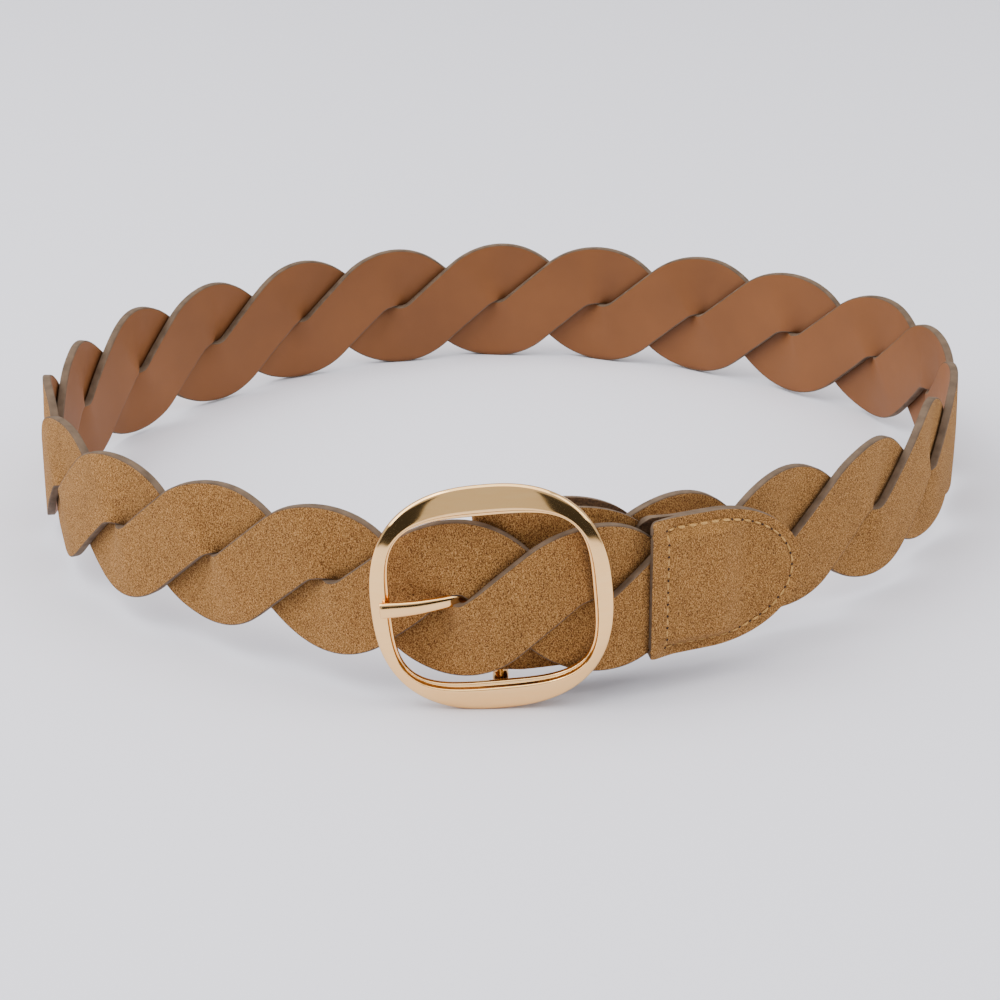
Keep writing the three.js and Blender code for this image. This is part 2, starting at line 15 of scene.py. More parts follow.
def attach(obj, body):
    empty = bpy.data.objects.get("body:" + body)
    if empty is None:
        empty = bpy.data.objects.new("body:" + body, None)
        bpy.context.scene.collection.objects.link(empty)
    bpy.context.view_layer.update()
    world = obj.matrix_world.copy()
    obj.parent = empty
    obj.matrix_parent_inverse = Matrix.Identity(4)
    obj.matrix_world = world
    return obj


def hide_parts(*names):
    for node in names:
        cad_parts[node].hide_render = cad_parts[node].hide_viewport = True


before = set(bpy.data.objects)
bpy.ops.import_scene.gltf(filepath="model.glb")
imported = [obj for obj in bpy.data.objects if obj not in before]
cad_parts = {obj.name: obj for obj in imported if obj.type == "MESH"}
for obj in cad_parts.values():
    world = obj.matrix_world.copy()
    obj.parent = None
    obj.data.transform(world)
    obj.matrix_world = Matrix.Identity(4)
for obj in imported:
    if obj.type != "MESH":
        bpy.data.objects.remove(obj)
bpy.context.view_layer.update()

bl_info = {
    "name": "Braided belt",
    "version": (1, 0, 0),
    "blender": (4, 5, 0),
    "location": "View3D > Sidebar > Belt",
    "description": "Builds a fastened braided suede belt with a gold buckle",
    "category": "Object",
}

MM = 0.001


def length(name, default, description):
    """A length property in metres, given in millimetres."""
    return FloatProperty(name=name, default=default * MM, unit="LENGTH", description=description)


def place(name, default, description):
    """A place in metres, given in millimetres."""
    spot = [part * MM for part in default]
    return FloatVectorProperty(name=name, default=spot, subtype="TRANSLATION", description=description)


def angle(name, default, description):
    """An angle property, given in degrees."""
    return FloatProperty(name=name, default=math.radians(default), unit="ROTATION", description=description)


def share(name, default, description):
    """A plain number, such as a place in lobes or a share of a size."""
    return FloatProperty(name=name, default=default, description=description)


def colour(name, default, description):
    """A linear colour without alpha."""
    return FloatVectorProperty(
        name=name, default=default, size=3, subtype="COLOR", min=0.0, max=1.0, description=description
    )


class BeltBraidSizes(bpy.types.PropertyGroup):
    strand_width: length("Strand width", 23.56, "Width of each wavy strip")
    leather: length("Leather", 2.8, "Thickness of each strip")
    crown: length("Crown", 0.04, "How far a strip's middle stands over its edges")
    crossing_gap: length("Crossing gap", 0.5, "Room between the strips where they cross")
    bend_radius: length("Bend radius", 19.4, "Radius of a strip's middle line round each lobe")
    lobe_pitch: length("Lobe pitch", 42.4, "Length of belt from one lobe to the next")
    eye_half: length("Eye half", 0.14, "Half the opening between the strips at each lobe")
    eye_turn: angle("Eye turn", 24.0, "Turn over which a strip's inner edge changes layers")
    strand_shift: length("Strand shift", 2.3, "How far one strip lies along from the other")
    edge_round: length("Edge round", 0.45, "Rounding of the strips' painted edges")
    start: share("Start", 0.4, "Where the strips start inside the tab, in lobes")
    end: share("End", 24.0, "Where the strips end inside the folded end, in lobes")
    prong_lobe: share("Prong lobe", 2.0, "The lobe that the prong comes through")
    prong_spread: length("Prong spread", 1.25, "How far the prong parts the strips")
    prong_lift: length("Prong lift", 0.6, "Height of the prong's opening over the middle")
    push_in: length("Push in", 2.8, "How far the strips give way under the prong")
    push_out: length("Push out", 2.0, "How far the strips stand out before the prong")
    push_reach: length("Push reach", 6.0, "How far along the push is felt")
    push_height: length("Push height", 8.0, "How far across the push is felt")
    steps_per_lobe: IntProperty(name="Steps per lobe", default=40, description="Sections along each lobe")
    steps_across: IntProperty(name="Steps across", default=14, description="Faces across each strip")


class BeltTabSizes(bpy.types.PropertyGroup):
    mouth: share("Mouth", 0.62, "Where the tab's straight end lies, in lobes")
    long: length("Length", 54.0, "Length of the tab")
    point: length("Point", 31.5, "Length of the tab's rounded point")
    half_height: length("Half height", 22.5, "Half the tab's height")
    wall: length("Wall", 1.6, "Thickness of each of the tab's two walls")
    corner: length("Corner", 3.0, "Radius of the corners at the straight end")
    seam_gap: length("Seam gap", 0.04, "Room between the two walls where they are sewn together")
    pocket_depth: length("Pocket depth", 23.46, "How far the strips' ends reach in")
    fade: length("Fade", 12.0, "Length over which the walls close past the strips' ends")
    opening: length("Opening", 11.0, "Length over which the walls part towards the mouth")
    stitch_inset: length("Stitch inset", 3.3, "Distance of the stitches from the edge")
    column_inset: length("Column inset", 5.6, "Distance of the upright row of stitches from the mouth")
    stitch_pitch: length("Stitch pitch", 3.9, "Distance from one stitch to the next")
    stitch_long: length("Stitch length", 2.7, "Length of the thread that shows")
    thread: length("Thread", 0.75, "Thickness of the thread")
    groove: length("Groove", 0.2, "How far the stitches pull the leather in")
    groove_half: length("Groove half width", 0.9, "Half the width of that groove")
    column_sink: length("Column sink", 0.32, "How much deeper the upright row is pulled in")
    edge_round: length("Edge round", 0.3, "Rounding of the walls' painted edges")


class BeltBuckleSizes(bpy.types.PropertyGroup):
    lobe: share("Lobe", 1.75, "Where the buckle's middle lies on the front layer, in lobes")
    bar_lobe: share("Bar lobe", 24.4, "Where the centre bar lies on the inner layer, in lobes")
    width: length("Frame width", 72.4, "Width of the frame")
    side: length("Side", 6.0, "Width of the side bars")
    rail: length("Rail", 9.6, "Height of the upper and lower bars")
    thickness: length("Thickness", 4.0, "Thickness of the frame")
    back: length("Back", 7.620, "How far the frame's back stands before the centre bar's middle")
    outer_square: share("Outer squareness", 2.45, "Exponent of the frame's outline")
    inner_square: share("Inner squareness", 3.8, "Exponent of the opening's outline")
    opening_half: length("Opening half height", 26.7, "Half the height of the opening")
    yaw: angle("Yaw", 2.7, "Turn of the frame about the centre bar")
    roll: angle("Roll", 5.2, "Lean of the frame in its own plane")
    rise: length("Rise", 2.4, "Height of the buckle's middle over the braid's")
    bar: length("Centre bar", 3.6, "Diameter of the centre bar")
    bar_gap: length("Bar gap", 0.4, "Room round the centre bar")
    lug_width: length("Lug width", 5.0, "Width of the lugs that hold the centre bar")
    lug_height: length("Lug height", 3.0, "Height of those lugs")
    lug_sink: length("Lug sink", 1.2, "How far the lugs stand past the opening's edge")
    lug_round: length("Lug round", 0.8, "Rounding of the lugs' edges")
    fit_gap: length("Fit gap", 0.3, "Room between pieces that lie on each other")
    eye_wall: length("Eye wall", 1.5, "Thickness of the prong's eye")
    eye_height: length("Eye height", 4.4, "Height of the prong's eye")
    prong_root: length("Prong root", 3.4, "Width of the prong at its eye")
    prong_tip: length("Prong tip", 4.9, "Width of the prong at its blunt tip")
    prong_thick: length("Prong thickness", 2.4, "Thickness of the prong")
    prong_drop: length("Prong drop", 1.5, "How far the prong's eye lies below the buckle's middle")
    prong_tilt: angle("Prong tilt", 4.0, "Rise of the prong towards its tip")


class BeltFoldSizes(bpy.types.PropertyGroup):
    wall: length("Wall", 1.6, "Thickness of the folded end's leather")
    half_height: length("Half height", 25.3, "Half the folded end's height")
    long: length("Length", 54.0, "Length of the folded end from the centre bar")
    flare: length("Flare", 3.0, "Length over which the walls spread to the strips")
    room: length("Room", 0.5, "Room between the walls and the strips")
    slot_half: length("Slot half height", 2.7, "Half the height of the prong's slot")
    slot_past: length("Slot past fold", 1.0, "How far the slot reaches past the fold")
    edge_round: length("Edge round", 0.3, "Rounding of the folded end's painted edges")


class BeltColours(bpy.types.PropertyGroup):
    suede: colour("Suede", (0.330, 0.150, 0.040), "Camel suede on the belt's outer side")
    suede_dark: colour("Suede shade", (0.105, 0.039, 0.008), "The darker nap between the fibres")
    suede_light: colour("Suede light", (0.61, 0.32, 0.105), "The lighter tips of the nap")
    lining: colour("Lining", (0.212, 0.080, 0.026), "Smooth brown lining on the inner side")
    raw: colour("Raw side", (0.130, 0.062, 0.025), "Dark flesh side inside the folded and sewn leather")
    edge: colour("Painted edge", (0.130, 0.086, 0.055), "Taupe edge paint")
    gold: colour("Gold", (0.97, 0.60, 0.25), "Pale champagne gold")
    thread: colour("Thread", (0.62, 0.345, 0.11), "Tan stitching")
    hole: colour("Stitch hole", (0.035, 0.016, 0.006), "The needle holes' shade")
    floor: colour("Floor", (0.84, 0.83, 0.90), "Plain pale floor")


class BeltStageSizes(bpy.types.PropertyGroup):
    lens: share("Lens", 90.684, "Focal length in millimetres on a 36 mm sensor")
    camera_at: place("Camera", (34.35, -827.37, 360.31), "Where the camera stands")
    elevation: angle("Elevation", 23.4235, "Camera's angle above the floor")
    yaw: angle("Yaw", -2.483, "Camera's turn to the right")
    roll: angle("Roll", -0.278, "Camera's lean")
    sky: share("Sky", 0.80, "Brightness of the room")
    dark: share("Dark side", 0.05, "Brightness of the room's dark side before the buckle")


# The belt's lean and place, which set the loop on its resting points over the origin
BELT_TILT = math.radians(1.956852)
BELT_PLACE = (101.7688 * MM, -112.7766 * MM, 32.4664 * MM)

# The loop in plan: the lobe that each arc ends at, and its turn in degrees
ROUTE_START = -0.8
ROUTE_HEADING = math.radians(204.2)
ROUTE = [
    (0.62, 4.6), (1.4, -18.6), (2.5, -32.2), (4.5, -12.3), (6.5, -39.0), (8.5, -36.0), (11.5, -42.5),
    (14.5, -48.3), (16.5, -21.3), (18.0, -38.4), (19.5, -27.9), (21.5, -28.5), (23.0, -12.6), (24.6, -20.8),
]

# The lobe from which the loop's end is drawn to the centre bar
CLOSING_START = 20.0

# Places in lobes, and how far the braid's middle line rises or falls there, in millimetres
LIFTS = [
    (0.0, -0.4), (1.5, 0.2), (3.0, 1.3), (4.5, 0.5), (6.0, -0.6), (9.0, -1.0), (12.0, 0.1), (15.0, 0.2),
    (18.0, -0.6), (21.0, -0.6), (24.0, 2.0),
]

# The frame's section: across from the opening's edge to the rim, and out from its back
FRAME_SECTION = [
    (0.000, 0.25), (0.000, 0.42), (0.015, 0.53), (0.050, 0.60), (0.090, 0.60), (0.115, 0.58),
    (0.135, 0.72), (0.165, 0.90), (0.200, 0.99), (0.250, 1.00), (0.360, 0.94), (0.500, 0.85),
    (0.640, 0.755), (0.780, 0.655), (0.880, 0.575), (0.940, 0.50), (0.980, 0.40), (1.000, 0.28),
    (0.990, 0.14), (0.950, 0.04), (0.860, 0.00), (0.500, 0.00), (0.140, 0.00), (0.030, 0.06),
]

# The prong's line on the buckle in millimetres, from its eye through the braid to its tip
PRONG_LINE = [(-2.664, -1.517), (-6.787, -3.629), (-10.947, -6.049), (-22.074, -10.999), (-33.200, -13.120)]
PRONG_SQUARENESS = 2.5
EYE_SQUARENESS = 4.0

# How finely the pieces are divided: along and across, or round and across
TAB_STEPS = (120, 96)
FOLD_STEPS = (150, 60)
FRAME_SECTIONS = 160
EYE_STEPS = (40, 20)
PRONG_RINGS = 72
PRONG_SIDES = 24

# Where the tab's walls close, as shares of its half height, and how far its corners do at the mouth
TAB_RIM = (0.70, 0.88)
TAB_CORNER = (0.86, 1.0)
TAB_CORNER_SHUT = 0.6

# The sewn line's points round each quarter and up the mouth, and along each side
STITCH_LINE_STEPS = 160
STITCH_SIDE_STEPS = 60

# Threads stand off the leather and dip at their ends, and holes are dots of painted shade, all in threads'
# thicknesses
THREAD_STAND = 0.35
THREAD_DIP = 0.5
HOLE_SIZE = (0.5, 0.6, 0.12)
HOLE_STAND = 0.08 * MM

# The prong's rounded ends, ring by ring: how far in it lies, in millimetres, and its share of the width
CAP_INSET = [0.0, 0.0, 0.04, 0.16, 0.42]
CAP_SIZE = [0.0, 0.74, 0.90, 0.975, 1.0]

# The dark corners of the room, as directions seen from the belt: each fades in over its range
DARK_BEFORE = (-0.10, -0.35)
DARK_ASIDE = (0.228, 0.25)
DARK_OVER = (-0.03, 0.03)
DARK_UNDER = (0.56, 0.44)

# The floor, and the soft lamps, which are all aimed at the belt
FLOOR_SIZE = 14.0
FLOOR_MIDDLE = (0.0, 3.0, 0.0)
LAMPS = [
    {"name": "key_left", "at": (-1.5, -0.3, 1.5), "size": 1.9, "watts": 46.0},
    {"name": "fill_right", "at": (1.7, -0.4, 1.3), "size": 1.5, "watts": 17.0},
    {"name": "top_soft", "at": (0.0, -0.2, 2.0), "size": 2.3, "watts": 37.0},
]
LAMP_AIM = (0.0, 0.0, 0.03)


def smooth(value, low, high):
    """0 below low, 1 above high and a smooth ramp between."""
    ramp = np.clip((value - low) / (high - low), 0.0, 1.0)
    return ramp * ramp * (3.0 - 2.0 * ramp)


def lift_at(lobe):
    """How far the braid's middle line lies over its mean height."""
    lift = np.full_like(lobe, LIFTS[0][1])
    for (low, low_lift), (high, high_lift) in zip(LIFTS, LIFTS[1:]):
        lift = lift + (high_lift - low_lift) * smooth(lobe, low, high)
    return lift * MM


class Braid:
    """Places on the belt: the loop's plan, the wave of each strip and what they give way to."""

    def __init__(self, scene):
        self.sizes = scene.belt_braid
        self.buckle = scene.belt_buckle
        s = self.sizes
        self.pitch = s.lobe_pitch
        self.half_width = s.strand_width / 2
        self.wave = self.half_width + s.eye_half
        self.layer = (s.leather + 2 * s.crown + s.crossing_gap) / 2
        self.half_thickness = self.layer + s.leather / 2 + s.crown
        reach = math.hypot(self.pitch / 2, s.bend_radius - self.wave)
        down = math.atan2(self.pitch / 2, s.bend_radius - self.wave)
        self.slope = down - math.acos(s.bend_radius / reach)
        diagonal = (self.pitch / 2 - s.bend_radius * math.sin(self.slope)) / math.cos(self.slope)
        self.run = 2 * (diagonal + s.bend_radius * self.slope)
        apart = 2 * (s.bend_radius - self.wave)
        self.lean = math.atan2(s.strand_shift, apart)
        self.inner_radius = s.bend_radius - self.half_width
        b = self.buckle
        self.fold_inner = b.bar / 2 + b.bar_gap
        self.fold_outer = self.fold_inner + scene.belt_fold.wall
        depth = self.half_thickness + b.fit_gap + self.fold_outer
        x, y, heading = self.plain_route(np.array([b.lobe]))
        front_heading = float(heading[0])
        self.buckle_turn = front_heading - math.pi + b.yaw
        self.bar_x = float(x[0] + math.sin(front_heading) * depth)
        self.bar_y = float(y[0] - math.cos(front_heading) * depth)
        end_x, end_y, _ = self.plain_route(np.array([b.bar_lobe]))
        self.closing = (self.bar_x - float(end_x[0]), self.bar_y - float(end_y[0]))

    def plain_route(self, lobe):
        """The braid's middle line in plan and its heading, before the loop is closed."""
        x = np.zeros_like(lobe)
        y = np.zeros_like(lobe)
        heading = np.full_like(lobe, ROUTE_HEADING)
        start = ROUTE_START
        for arc, (end, turn) in enumerate(ROUTE):
            bend = math.radians(turn) / ((end - start) * self.pitch)
            stop = lobe if arc == len(ROUTE) - 1 else np.minimum(lobe, end)
            span = stop - start if arc == 0 else np.maximum(stop - start, 0.0)
            turned = bend * span * self.pitch
            x = x + (np.sin(heading + turned) - np.sin(heading)) / bend
            y = y - (np.cos(heading + turned) - np.cos(heading)) / bend
            heading = heading + turned
            start = end
        return x, y, heading

    def route(self, lobe):
        """The middle line with its end brought to the centre bar."""
        x, y, _ = self.plain_route(lobe)
        closed = smooth(lobe, CLOSING_START, self.buckle.bar_lobe)
        return x + self.closing[0] * closed, y + self.closing[1] * closed

    def on_belt(self, lobe, out, height):
        """Points at a place along in lobes, out from the middle surface and at a height."""
        step = 0.001
        x0, y0 = self.route(lobe - step)
        x1, y1 = self.route(lobe + step)
        x, y = self.route(lobe)
        run = np.hypot(x1 - x0, y1 - y0)
        across_x = -(y1 - y0) / run
        across_y = (x1 - x0) / run
        return np.stack([x + across_x * out, y + across_y * out, height + lift_at(lobe)], axis=-1)

    def push(self, along, height):
        """How far the strips give way by the prong: inwards past it, outwards before it."""
        s = self.sizes
        part = along / s.push_reach
        fade = np.exp((1 - part * part) / 2 - (height / s.push_height) ** 2 / 2)
        return -part * fade * np.where(along > 0, s.push_in, s.push_out)

    def on_strand(self, side, place, across, out):
        """Points of a strip: side 1 crests at even lobes and side -1 at odd ones."""
        s = self.sizes
        lobe = np.round(place)
        up = np.where(lobe % 2 == 0, 1.0, -1.0) * side
        run = (place - lobe) * self.run
        radius = s.bend_radius + up * across
        turn = np.clip(run / s.bend_radius, -self.slope, self.slope)
        straight = run - turn * s.bend_radius
        along = radius * np.sin(turn) + straight * math.cos(self.slope) - side * s.strand_shift / 2
        rise = self.wave - s.bend_radius + radius * np.cos(turn) - np.abs(straight) * math.sin(self.slope)
        share_out = (radius - self.inner_radius) / s.strand_width
        wide = s.eye_turn + (self.slope - self.lean - s.eye_turn) * share_out
        flip = np.clip((turn - side * self.lean) / wide, -1.0, 1.0)
        layer = up * self.layer * flip * (3 - flip * flip) / 2
        parting = np.cos(math.pi * np.clip(place - s.prong_lobe, -0.5, 0.5)) ** 2
        height = up * (rise + s.prong_spread * parting) + s.prong_lift * parting
        from_prong = (lobe - s.prong_lobe) * self.pitch + along
        give = self.push(from_prong, height)
        return self.on_belt(lobe + along / self.pitch, layer + out + give, height)


def settle(points):
    """Leans the belt's own points onto its resting points and over the origin."""
    x, y, z = points[..., 0], points[..., 1], points[..., 2]
    c, s = math.cos(BELT_TILT), math.sin(BELT_TILT)
    leant = np.stack([x, y * c + z * s, z * c - y * s], axis=-1)
    return leant + np.array(BELT_PLACE)


def deselect_all():
    if bpy.context.mode != "OBJECT":
        bpy.ops.object.mode_set(mode="OBJECT")
    bpy.ops.object.select_all(action="DESELECT")


def only(piece):
    """Makes one piece the selected and active one."""
    deselect_all()
    piece.select_set(True)
    bpy.context.view_layer.objects.active = piece


def named(name):
    piece = bpy.context.view_layer.objects.active
    piece.name = name
    piece.data.name = name
    return piece


def corners(piece):
    spots = np.empty(len(piece.data.vertices) * 3)
    piece.data.vertices.foreach_get("co", spots)
    return spots.reshape(-1, 3)


def move_corners(piece, spots):
    piece.data.vertices.foreach_set("co", np.ascontiguousarray(spots, dtype=np.float64).ravel())
    piece.data.update()


def begin(name, adder, **settings):
    """Adds a primitive to be shaped, a light or a camera, with everything else deselected."""
    deselect_all()
    adder(**settings)
    return named(name)


def begin_sheet(name, steps_x, steps_y):
    """Adds a flat sheet from -0.5 to 0.5 each way."""
    steps = {"x_subdivisions": steps_x, "y_subdivisions": steps_y}
    return begin(name, bpy.ops.mesh.primitive_grid_add, **steps, size=1.0)


def apply_modifier(piece, kind, **settings):
    only(piece)
    modifier = piece.modifiers.new(kind.title(), kind)
    for key, value in settings.items():
        setattr(modifier, key, value)
    bpy.ops.object.modifier_apply(modifier=modifier.name)


def shade_smooth(piece, sharp_degrees):
    """Shades a piece smooth except over edges that turn more sharply."""
    only(piece)
    bpy.ops.object.shade_smooth_by_angle(angle=math.radians(sharp_degrees))


def face_outwards(piece):
    """Recalculates the normals of a closed mesh so that they point outwards."""
    only(piece)
    bpy.ops.object.mode_set(mode="EDIT")
    bpy.ops.mesh.select_all(action="SELECT")
    bpy.ops.mesh.normals_make_consistent(inside=False)
    bpy.ops.object.mode_set(mode="OBJECT")


def cut_away(piece, chosen):
    """Deletes the chosen corners and every face that they hold."""
    only(piece)
    bpy.ops.object.mode_set(mode="EDIT")
    bpy.ops.mesh.select_all(action="DESELECT")
    bpy.ops.object.mode_set(mode="OBJECT")
    piece.data.vertices.foreach_set("select", chosen)
    bpy.ops.object.mode_set(mode="EDIT")
    bpy.ops.mesh.delete(type="VERT")
    bpy.ops.object.mode_set(mode="OBJECT")


def join(pieces, name):
    deselect_all()
    for piece in pieces:
        piece.select_set(True)
    bpy.context.view_layer.objects.active = pieces[0]
    bpy.ops.object.join()
    return named(name)


def dress(piece, slot, *nodes):
    """Hands a finished piece to the frame's root body and hides the solid that it stands for. The slot is
    not used.
    """
    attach(piece, "root")
    if nodes:
        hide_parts(*nodes)


def face_with(piece, *makers):
    """Gives a piece its finishes. Solidify counts from the outer face's to the inner's and the edge's."""
    piece.data.materials.clear()
    for maker in makers:
        piece.data.materials.append(finish(maker))


def thicken(piece, thickness, rounding):
    """Gives a shaped sheet its leather's thickness, a lined back and a rounded painted edge."""
    wall = {"thickness": thickness, "offset": 0.0, "use_even_offset": False}
    apply_modifier(piece, "SOLIDIFY", **wall, material_offset=1, material_offset_rim=2)
    limit = {"limit_method": "ANGLE", "angle_limit": math.radians(55)}
    apply_modifier(piece, "BEVEL", width=rounding, segments=3, **limit, material=2)
    shade_smooth(piece, 50.0)


# Finishes


class Wiring:
    """Adds nodes to one tree, already set and linked."""

    def __init__(self, tree):
        self.tree = tree

    def add(self, kind, sockets=None, **settings):
        """Adds a node and gives its outputs. Each socket named takes a link or a plain value."""
        node = self.tree.nodes.new(kind)
        for key, value in settings.items():
            setattr(node, key, value)
        self.feed(node, sockets or {})
        return node.outputs

    def feed(self, node, sockets):
        for key, value in sockets.items():
            if isinstance(value, bpy.types.NodeSocket):
                self.tree.links.new(value, node.inputs[key])
            else:
                node.inputs[key].default_value = value


# Painted shade in the creases: how near a neighbour darkens the leather's colour, and how much
PAINTED_SHADE_REACH = 4 * MM
PAINTED_SHADE_STOPS = [(0.30, (0.38, 0.34, 0.30)), (0.85, (1.0, 1.0, 1.0))]


class Finish(Wiring):
    """A material with one shader, and the patterns that feed it."""

    def __init__(self, name):
        self.material = bpy.data.materials.new(name)
        self.material.use_nodes = True
        super().__init__(self.material.node_tree)
        self.tree.nodes.clear()
        self.shader = self.tree.nodes.new("ShaderNodeBsdfPrincipled")
        self.add("ShaderNodeOutputMaterial", {"Surface": self.shader.outputs["BSDF"]})

    def shade(self, sockets):
        self.feed(self.shader, sockets)

    def noise(self, scale, detail, roughness=0.5, stretch=(1.0, 1.0, 1.0)):
        """Noise on the piece's own coordinates, each axis multiplied by its stretch."""
        space = self.add("ShaderNodeTexCoord")["Object"]
        space = self.add("ShaderNodeMapping", {"Vector": space, "Scale": stretch})["Vector"]
        look = {"Vector": space, "Scale": scale, "Detail": detail, "Roughness": roughness}
        return self.add("ShaderNodeTexNoise", look)["Fac"]

    def ramp(self, factor, stops):
        """A colour ramp: each stop is a place and a colour."""
        colour = self.add("ShaderNodeValToRGB", {"Fac": factor})["Color"]
        elements = colour.node.color_ramp.elements
        while len(elements) < len(stops):
            elements.new(0.5)
        for element, (place, tint) in zip(elements, stops):
            element.position = place
            element.color = (*tint, 1.0)
        return colour

    def shades(self, factor, colour, stops):
        """A ramp between shades of one colour: each stop is a place and a strength."""
        tints = [(place, [min(1.0, strength * part) for part in colour]) for place, strength in stops]
        return self.ramp(factor, tints)

    def multiply(self, first, second):
        sockets = {"Factor": 1.0, "A": first, "B": second}
        return self.add("ShaderNodeMix", sockets, data_type="RGBA", blend_type="MULTIPLY")["Result"]

    def paint_crease_shade(self, tone):
        """Paints shade into a colour, from an ambient occlusion node, in the creases where the leather lies
        against its neighbour.
        """
        closeness = self.add("ShaderNodeAmbientOcclusion", {"Distance": PAINTED_SHADE_REACH}, samples=8)["AO"]
        return self.multiply(tone, self.ramp(closeness, PAINTED_SHADE_STOPS))

    def relief(self, height, strength, depth):
        """Gives the shader a bumpy surface as deep as that many millimetres."""
        look = {"Height": height, "Strength": strength, "Distance": depth * MM}
        self.shade({"Normal": self.add("ShaderNodeBump", look)["Normal"]})


def camel_suede(look, colours):
    """Short brushed nap: fine upright flecks over soft blotches where it was stroked, and painted shade in
    the creases.
    """
    nap = look.noise(4000.0, 2.0, 0.62, stretch=(1.0, 1.0, 0.55))
    brushed = look.noise(95.0, 4.0, 0.6, stretch=(1.0, 1.0, 0.7))
    grain = look.ramp(nap, [(0.39, colours.suede_dark), (0.5, colours.suede), (0.62, colours.suede_light)])
    blotches = look.shades(brushed, (1.0, 1.0, 1.0), [(0.25, 0.82), (0.75, 1.0)])
    look.shade(
        {
            # The base colour carries painted shade in the creases
            "Base Color": look.paint_crease_shade(look.multiply(grain, blotches)),
            "Roughness": 0.95,
            "Specular IOR Level": 0.2,
            "Sheen Weight": 0.12,
            "Sheen Roughness": 0.4,
            "Sheen Tint": (0.95, 0.66, 0.34, 1.0),
        }
    )
    look.relief(nap, 0.8, 0.6)


def brown_lining(look, colours):
    """Smooth brown lining with a faint pore grain, and painted shade in the creases."""
    cloud = look.shades(look.noise(30.0, 3.0), colours.lining, [(0.3, 0.88), (0.7, 1.10)])
    # The base colour carries painted shade in the creases
    look.shade({"Base Color": look.paint_crease_shade(cloud), "Roughness": 0.52, "Specular IOR Level": 0.25})
    look.relief(look.noise(900.0, 2.0), 0.12, 0.3)


def raw_leather(look, colours):
    """The dark fibrous flesh side of the leather."""
    fibres = look.noise(1500.0, 3.0)
    tone = look.shades(fibres, colours.raw, [(0.38, 0.5), (0.62, 1.0)])
    look.shade({"Base Color": tone, "Roughness": 0.95})
    look.relief(fibres, 0.4, 0.5)


def painted_edge(look, colours):
    """Taupe edge paint, a little uneven where it was rolled on."""
    uneven = look.noise(260.0, 3.0)
    tone = look.shades(uneven, colours.edge, [(0.3, 0.72), (0.7, 1.22)])
    look.shade({"Base Color": tone, "Roughness": 0.75, "Specular IOR Level": 0.2})
    look.relief(uneven, 0.3, 0.4)


def champagne_gold(look, colours):
    """Polished pale gold plating with the faintest wipe marks."""
    wiped = look.noise(120.0, 3.0, stretch=(1.0, 1.0, 6.0))
    shine = look.add("ShaderNodeMapRange", {"Value": wiped, "To Min": 0.07, "To Max": 0.14})["Result"]
    gold = colours.gold
    warmer = (gold[0], 0.97 * gold[1], 0.93 * gold[2])
    tone = look.ramp(wiped, [(0.35, gold), (0.65, warmer)])
    look.shade({"Base Color": tone, "Metallic": 1.0, "Roughness": shine})


def tan_thread(look, colours):
    """Twisted sewing thread."""
    twist = look.noise(2600.0, 2.0)
    tone = look.shades(twist, colours.thread, [(0.35, 0.6), (0.6, 1.0)])
    look.shade({"Base Color": tone, "Roughness": 0.8, "Specular IOR Level": 0.2})
    look.relief(twist, 0.5, 0.3)


def needle_hole(look, colours):
    """The shaded hole that a needle leaves."""
    look.shade({"Base Color": (*colours.hole, 1.0), "Roughness": 0.9})


def pale_floor(look, colours):
    """Plain pale floor."""
    look.shade({"Base Color": (*colours.floor, 1.0), "Roughness": 0.6, "Specular IOR Level": 0.2})


def finish(maker):
    """The material that a maker gives, made the first time that it is asked for."""
    name = maker.__name__
    if name not in bpy.data.materials:
        maker(Finish(name), bpy.context.scene.belt_colours)
    return bpy.data.materials[name]


# Pieces


class BELT_OT_strands(bpy.types.Operator):
    """Cut the two wavy strips and braid them round the loop"""

    bl_idname = "belt.strands"
    bl_label = "Strands"

    def execute(self, context):
        braid = Braid(context.scene)
        sizes = braid.sizes
        for name, side in (("strand_a", 1), ("strand_b", -1)):
            steps = round((sizes.end - sizes.start) * sizes.steps_per_lobe)
            strip = begin_sheet(name + "_leather", steps, sizes.steps_across)
            spots = corners(strip)
            place = sizes.start + (spots[:, 0] + 0.5) * (sizes.end - sizes.start)
            across = -spots[:, 1] * sizes.strand_width
            crown = sizes.crown * (1 - (2 * spots[:, 1]) ** 2)
            move_corners(strip, settle(braid.on_strand(side, place, across, crown)))
            face_with(strip, camel_suede, brown_lining, painted_edge)
            thicken(strip, sizes.leather, sizes.edge_round)
            dress(strip, "suede", name)
        return {"FINISHED"}


